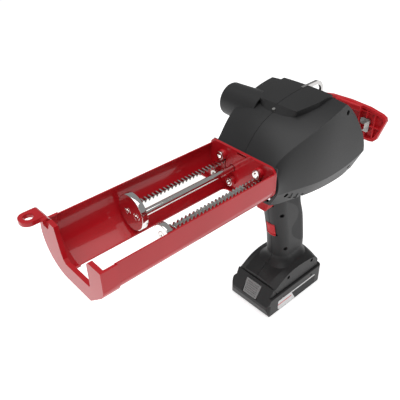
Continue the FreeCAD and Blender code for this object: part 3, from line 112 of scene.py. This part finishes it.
# ------------------------------------------------------------------ materials
PAINT_CLOUDS = 18.0             # cycles per metre
PAINT_PEEL = 420.0
PAINT_PEEL_DEPTH = 0.4 * MM
PLASTIC_CLOUDS = 14.0
PLASTIC_ROUGHNESS_SPREAD = 0.05
BOARD_CELLS = 300.0


def gloss_paint(name, tone, deep_tone):
    """Glossy lacquer: clouded colour under a clear, sharply reflecting coat."""
    material, tree, bsdf = shader(name)
    cloud = object_noise(tree, PAINT_CLOUDS)
    colour = two_tones(tree, ranged(tree, cloud.outputs["Fac"], 0.0, 1.0), tone, deep_tone)
    tree.links.new(colour, bsdf.inputs["Base Color"])
    bsdf.inputs["Roughness"].default_value = 0.32
    bsdf.inputs["Specular IOR Level"].default_value = 0.2
    bsdf.inputs["Coat Weight"].default_value = 0.4
    bsdf.inputs["Coat Roughness"].default_value = 0.03
    bsdf.inputs["Coat IOR"].default_value = 1.5
    peel = object_noise(tree, PAINT_PEEL, detail=1.0)
    bump(tree, bsdf, peel.outputs["Fac"], 0.03, PAINT_PEEL_DEPTH)
    return material


def moulded_plastic(name, tone, light_tone, roughness,
                    grain=2600.0, grain_depth=0.06 * MM, strength=0.35):
    """Spark-eroded moulding: fine grain and slight clouding."""
    material, tree, bsdf = shader(name)
    cloud = object_noise(tree, PLASTIC_CLOUDS)
    colour = two_tones(tree, ranged(tree, cloud.outputs["Fac"], 0.0, 1.0), tone, light_tone)
    tree.links.new(colour, bsdf.inputs["Base Color"])
    fine = object_noise(tree, grain, detail=3.0, roughness=0.6)
    tree.links.new(ranged(tree, fine.outputs["Fac"], roughness - PLASTIC_ROUGHNESS_SPREAD,
                          roughness + PLASTIC_ROUGHNESS_SPREAD),
                   bsdf.inputs["Roughness"])
    bsdf.inputs["Specular IOR Level"].default_value = 0.3
    bump(tree, bsdf, fine.outputs["Fac"], strength, grain_depth)
    return material


METAL_STREAKS = (1.0, 60.0, 60.0)   # long along X, fine across it
METAL_MARKS = 900.0
METAL_MARK_DEPTH = 0.004 * MM
METAL_DARKER = 0.9


def metal(name, tone, roughness):
    """Bare metal with fine drawing or grinding marks along X."""
    material, tree, bsdf = shader(name)
    bsdf.inputs["Metallic"].default_value = 1.0
    marks = object_noise(tree, METAL_MARKS, stretch=METAL_STREAKS)
    darker = tuple(METAL_DARKER * c for c in tone)
    colour = two_tones(tree, ranged(tree, marks.outputs["Fac"], 0.0, 1.0), tone, darker)
    tree.links.new(colour, bsdf.inputs["Base Color"])
    tree.links.new(ranged(tree, marks.outputs["Fac"], roughness * 0.8, roughness * 1.25),
                   bsdf.inputs["Roughness"])
    bump(tree, bsdf, marks.outputs["Fac"], 0.3, METAL_MARK_DEPTH)
    return material


def circuit_board(name):
    """Solder mask in two greens, in small square patches."""
    material, tree, bsdf = shader(name)
    cells = add_node(tree, "ShaderNodeTexVoronoi", distance="CHEBYCHEV")
    cells.inputs["Scale"].default_value = BOARD_CELLS
    coords = add_node(tree, "ShaderNodeTexCoord")
    tree.links.new(coords.outputs["Object"], cells.inputs["Vector"])
    colour = two_tones(tree, ranged(tree, cells.outputs["Distance"], 0.0, 1.0),
                       (0.01, 0.09, 0.04), (0.03, 0.22, 0.09))
    tree.links.new(colour, bsdf.inputs["Base Color"])
    bsdf.inputs["Roughness"].default_value = 0.35
    return material


LABEL_SPLIT_X = at(-77.0, 0, 0).x   # where the slanted divide crosses LABEL_MID_Z
LABEL_MID_Z = at(0, 0, -245.7).z
LABEL_TOP_Z = at(0, 0, -239.0).z
LABEL_SLANT = 0.55                  # X gained for each metre upwards
STRIPE_LOW = 0.8 * MM               # the red stripe, above LABEL_MID_Z
STRIPE_HIGH = 2.6 * MM
STRIPE_START = 3.0 * MM             # ahead of the divide
LABEL_BLACK = (0.008, 0.008, 0.009)
LABEL_WHITE = (0.72, 0.72, 0.72)
LABEL_RED = (0.6, 0.03, 0.04)


def printed_label(name):
    """Side label of the battery: white front part with a red stripe, slanted divide, black rear
    part, thin white line along the top."""
    material, tree, bsdf = shader(name)
    coords = add_node(tree, "ShaderNodeTexCoord")
    split = add_node(tree, "ShaderNodeSeparateXYZ")
    tree.links.new(coords.outputs["Object"], split.inputs["Vector"])

    def step(value, threshold):
        node = add_node(tree, "ShaderNodeMath", operation="GREATER_THAN")
        tree.links.new(value, node.inputs[0])
        node.inputs[1].default_value = threshold
        return node.outputs["Value"]

    def combine(kind, first, second):
        node = add_node(tree, "ShaderNodeMath", operation=kind)
        tree.links.new(first, node.inputs[0])
        tree.links.new(second, node.inputs[1])
        return node.outputs["Value"]

    lean = add_node(tree, "ShaderNodeMath", operation="MULTIPLY")
    tree.links.new(split.outputs["Z"], lean.inputs[0])
    lean.inputs[1].default_value = LABEL_SLANT
    slant = combine("SUBTRACT", split.outputs["X"], lean.outputs["Value"])
    divide = LABEL_SPLIT_X - LABEL_MID_Z * LABEL_SLANT
    front = step(slant, divide)
    top_line = step(split.outputs["Z"], LABEL_TOP_Z)
    white = combine("MAXIMUM", front, top_line)
    colour = two_tones(tree, white, LABEL_BLACK, LABEL_WHITE)
    above_low = step(split.outputs["Z"], LABEL_MID_Z + STRIPE_LOW)
    above_high = step(split.outputs["Z"], LABEL_MID_Z + STRIPE_HIGH)
    band = combine("SUBTRACT", above_low, above_high)
    stripe = combine("MULTIPLY", band, step(slant, divide + STRIPE_START))
    mix = add_node(tree, "ShaderNodeMix", data_type="RGBA")
    tree.links.new(stripe, mix.inputs["Factor"])
    tree.links.new(colour, mix.inputs["A"])
    mix.inputs["B"].default_value = (*LABEL_RED, 1.0)
    tree.links.new(mix.outputs["Result"], bsdf.inputs["Base Color"])
    bsdf.inputs["Roughness"].default_value = 0.4
    bsdf.inputs["Specular IOR Level"].default_value = 0.15
    return material


RED = (0.46, 0.009, 0.016)
RED_DEEP = (0.41, 0.007, 0.012)
materials = {
    "carrier_red": gloss_paint("carrier_red", RED, RED_DEEP),
    "nose_red": gloss_paint("nose_red", RED, RED_DEEP),
    "red_plastic": moulded_plastic("red_plastic", (0.50, 0.012, 0.018), (0.56, 0.016, 0.022), 0.38),
    "housing_black": moulded_plastic("housing_black", (0.019, 0.019, 0.0195),
                                     (0.022, 0.022, 0.0225), 0.44),
    "battery_black": moulded_plastic("battery_black", (0.016, 0.016, 0.0165),
                                     (0.019, 0.019, 0.0195), 0.42),
    "button_grey": moulded_plastic("button_grey", (0.20, 0.20, 0.20), (0.23, 0.23, 0.23), 0.5),
    "soft_black": moulded_plastic("soft_black", (0.026, 0.026, 0.027), (0.03, 0.03, 0.031), 0.62,
                                  grain=1500.0, grain_depth=0.12 * MM, strength=0.5),
    "polished_steel": metal("polished_steel", (0.80, 0.79, 0.77), 0.07),
    "steel": metal("steel", (0.62, 0.61, 0.60), 0.22),
    "grey_steel": metal("grey_steel", (0.55, 0.55, 0.54), 0.34),
    "aluminium": metal("aluminium", (0.77, 0.77, 0.78), 0.3),
    "bronze": metal("bronze", (0.60, 0.40, 0.20), 0.3),
    "white_plastic": moulded_plastic("white_plastic", (0.70, 0.70, 0.67), (0.76, 0.76, 0.73), 0.4),
    "board_green": circuit_board("board_green"),
    "label_print": printed_label("label_print"),
    "cell_metal": metal("cell_metal", (0.35, 0.45, 0.35), 0.35),
    "copper": metal("copper", (0.80, 0.45, 0.25), 0.2),
}

slot_of = {entry["node"]: entry["material_slot"] for entry in frame["record"]["subparts"]}
for name, node in nodes.items():
    node.data.materials.clear()
    node.data.materials.append(materials[slot_of[name]])


# ------------------------------------------------------------------ softened edges
WELD_DISTANCE = 0.01 * MM
ROUND_SEGMENTS = 2
SHARP_ANGLE = math.radians(38.0)    # edges that turn by less stay as they are


def soften(name, width):
    """Small round, its width in millimetres, on the sharp edges of a CAD piece, whose own mesh
    stays as it is."""
    node = nodes[name]
    weld = node.modifiers.new("weld", "WELD")
    weld.merge_threshold = WELD_DISTANCE
    bevel = node.modifiers.new("round", "BEVEL")
    bevel.width = width * MM
    bevel.segments = ROUND_SEGMENTS
    bevel.limit_method = "ANGLE"
    bevel.angle_limit = SHARP_ANGLE
    bevel.harden_normals = True


# The housing shells and the lock switch have none: rounds shaded their curved faces wrongly.
EDGE_ROUNDS = {
    "battery_upper_case": 0.6,
    "battery_lower_case": 0.6,
    "carrier_nose": 0.5,
    "carrier_tray": 0.25,
    "carrier_back_plate": 0.5,
    "pull_handle": 0.5,
    "hanging_loop": 0.6,
    "trigger": 0.4,
    "large_piston_disc": 0.25,
    "small_piston_disc": 0.25,
    "battery_release_button": 0.3,
    "large_rack": 0.12,
    "small_rack": 0.12,
    "rack_end_plates": 0.3,
}
for name, width in EDGE_ROUNDS.items():
    soften(name, width)


# ------------------------------------------------------------------ camera
CAMERA_PLACE = at(376.9, 349.5, 302.6)
CAMERA_YAW = math.radians(228.41)
CAMERA_PITCH = math.radians(35.26)
CAMERA_ROLL = math.radians(-1.04)
CAMERA_LENS = 47.16             # millimetres, on a sensor of CAMERA_SENSOR
CAMERA_SENSOR = 36.0
CAMERA_FAR = 20.0


def add_camera():
    """The camera that took the photo."""
    look = Vector((math.cos(CAMERA_YAW) * math.cos(CAMERA_PITCH),
                   math.sin(CAMERA_YAW) * math.cos(CAMERA_PITCH), -math.sin(CAMERA_PITCH)))
    right = Vector((math.sin(CAMERA_YAW), -math.cos(CAMERA_YAW), 0.0))
    up = right.cross(look)
    turned_right = right * math.cos(CAMERA_ROLL) + up * math.sin(CAMERA_ROLL)
    turned_up = up * math.cos(CAMERA_ROLL) - right * math.sin(CAMERA_ROLL)
    data = bpy.data.cameras.new("camera")
    data.lens = CAMERA_LENS
    data.sensor_width = CAMERA_SENSOR
    data.clip_end = CAMERA_FAR
    camera = bpy.data.objects.new("camera", data)
    axes = Matrix((turned_right, turned_up, -look)).transposed()
    camera.matrix_world = Matrix.Translation(CAMERA_PLACE) @ axes.to_4x4()
    scene.collection.objects.link(camera)
    scene.camera = camera


add_camera()


# ------------------------------------------------------------------ floor and light
FLOOR_REACH = 6.0
FLOOR_COLOUR = (0.93, 0.93, 0.93, 1.0)
FLOOR_GLOW = 0.6                # the floor gives off a little light, to read white as in the photo
WORLD_STRENGTH = 0.30
LIGHT_TARGET = (0.08, 0.0, 0.2)
TOP_LIGHT = {"place": (0.35, 0.1, 1.7), "side": 1.8, "power": 24.0}
FRONT_LIGHT = {"place": (1.9, 0.3, 0.7), "side": 1.0, "power": 2.0}


def add_floor():
    """White floor round the object, which belongs to the picture only."""
    reach = FLOOR_REACH
    mesh = bpy.data.meshes.new("floor")
    corners = [(-reach, -reach, 0), (reach, -reach, 0), (reach, reach, 0), (-reach, reach, 0)]
    mesh.from_pydata(corners, [], [(0, 1, 2, 3)])
    floor = bpy.data.objects.new("floor", mesh)
    scene.collection.objects.link(floor)
    material, _, bsdf = shader("floor")
    bsdf.inputs["Base Color"].default_value = FLOOR_COLOUR
    bsdf.inputs["Roughness"].default_value = 0.9
    bsdf.inputs["Specular IOR Level"].default_value = 0.1
    bsdf.inputs["Emission Color"].default_value = WHITE
    bsdf.inputs["Emission Strength"].default_value = FLOOR_GLOW
    mesh.materials.append(material)


def add_area(name, place, side, power):
    """Square lamp turned towards LIGHT_TARGET, its side in metres and its power in watts."""
    data = bpy.data.lights.new(name, "AREA")
    data.shape = "RECTANGLE"
    data.size = side
    data.size_y = side
    data.energy = power
    light = bpy.data.objects.new(name, data)
    aim = (Vector(LIGHT_TARGET) - Vector(place)).to_track_quat("-Z", "Y")
    light.matrix_world = Matrix.Translation(Vector(place)) @ aim.to_matrix().to_4x4()
    scene.collection.objects.link(light)


def add_world(strength):
    """Even white light from all round."""
    world = bpy.data.worlds.new("studio")
    world.use_nodes = True
    background = world.node_tree.nodes["Background"]
    background.inputs["Color"].default_value = WHITE
    background.inputs["Strength"].default_value = strength
    scene.world = world


add_floor()
add_world(WORLD_STRENGTH)
add_area("top", **TOP_LIGHT)
add_area("front", **FRONT_LIGHT)
scene.view_settings.view_transform = "Standard"
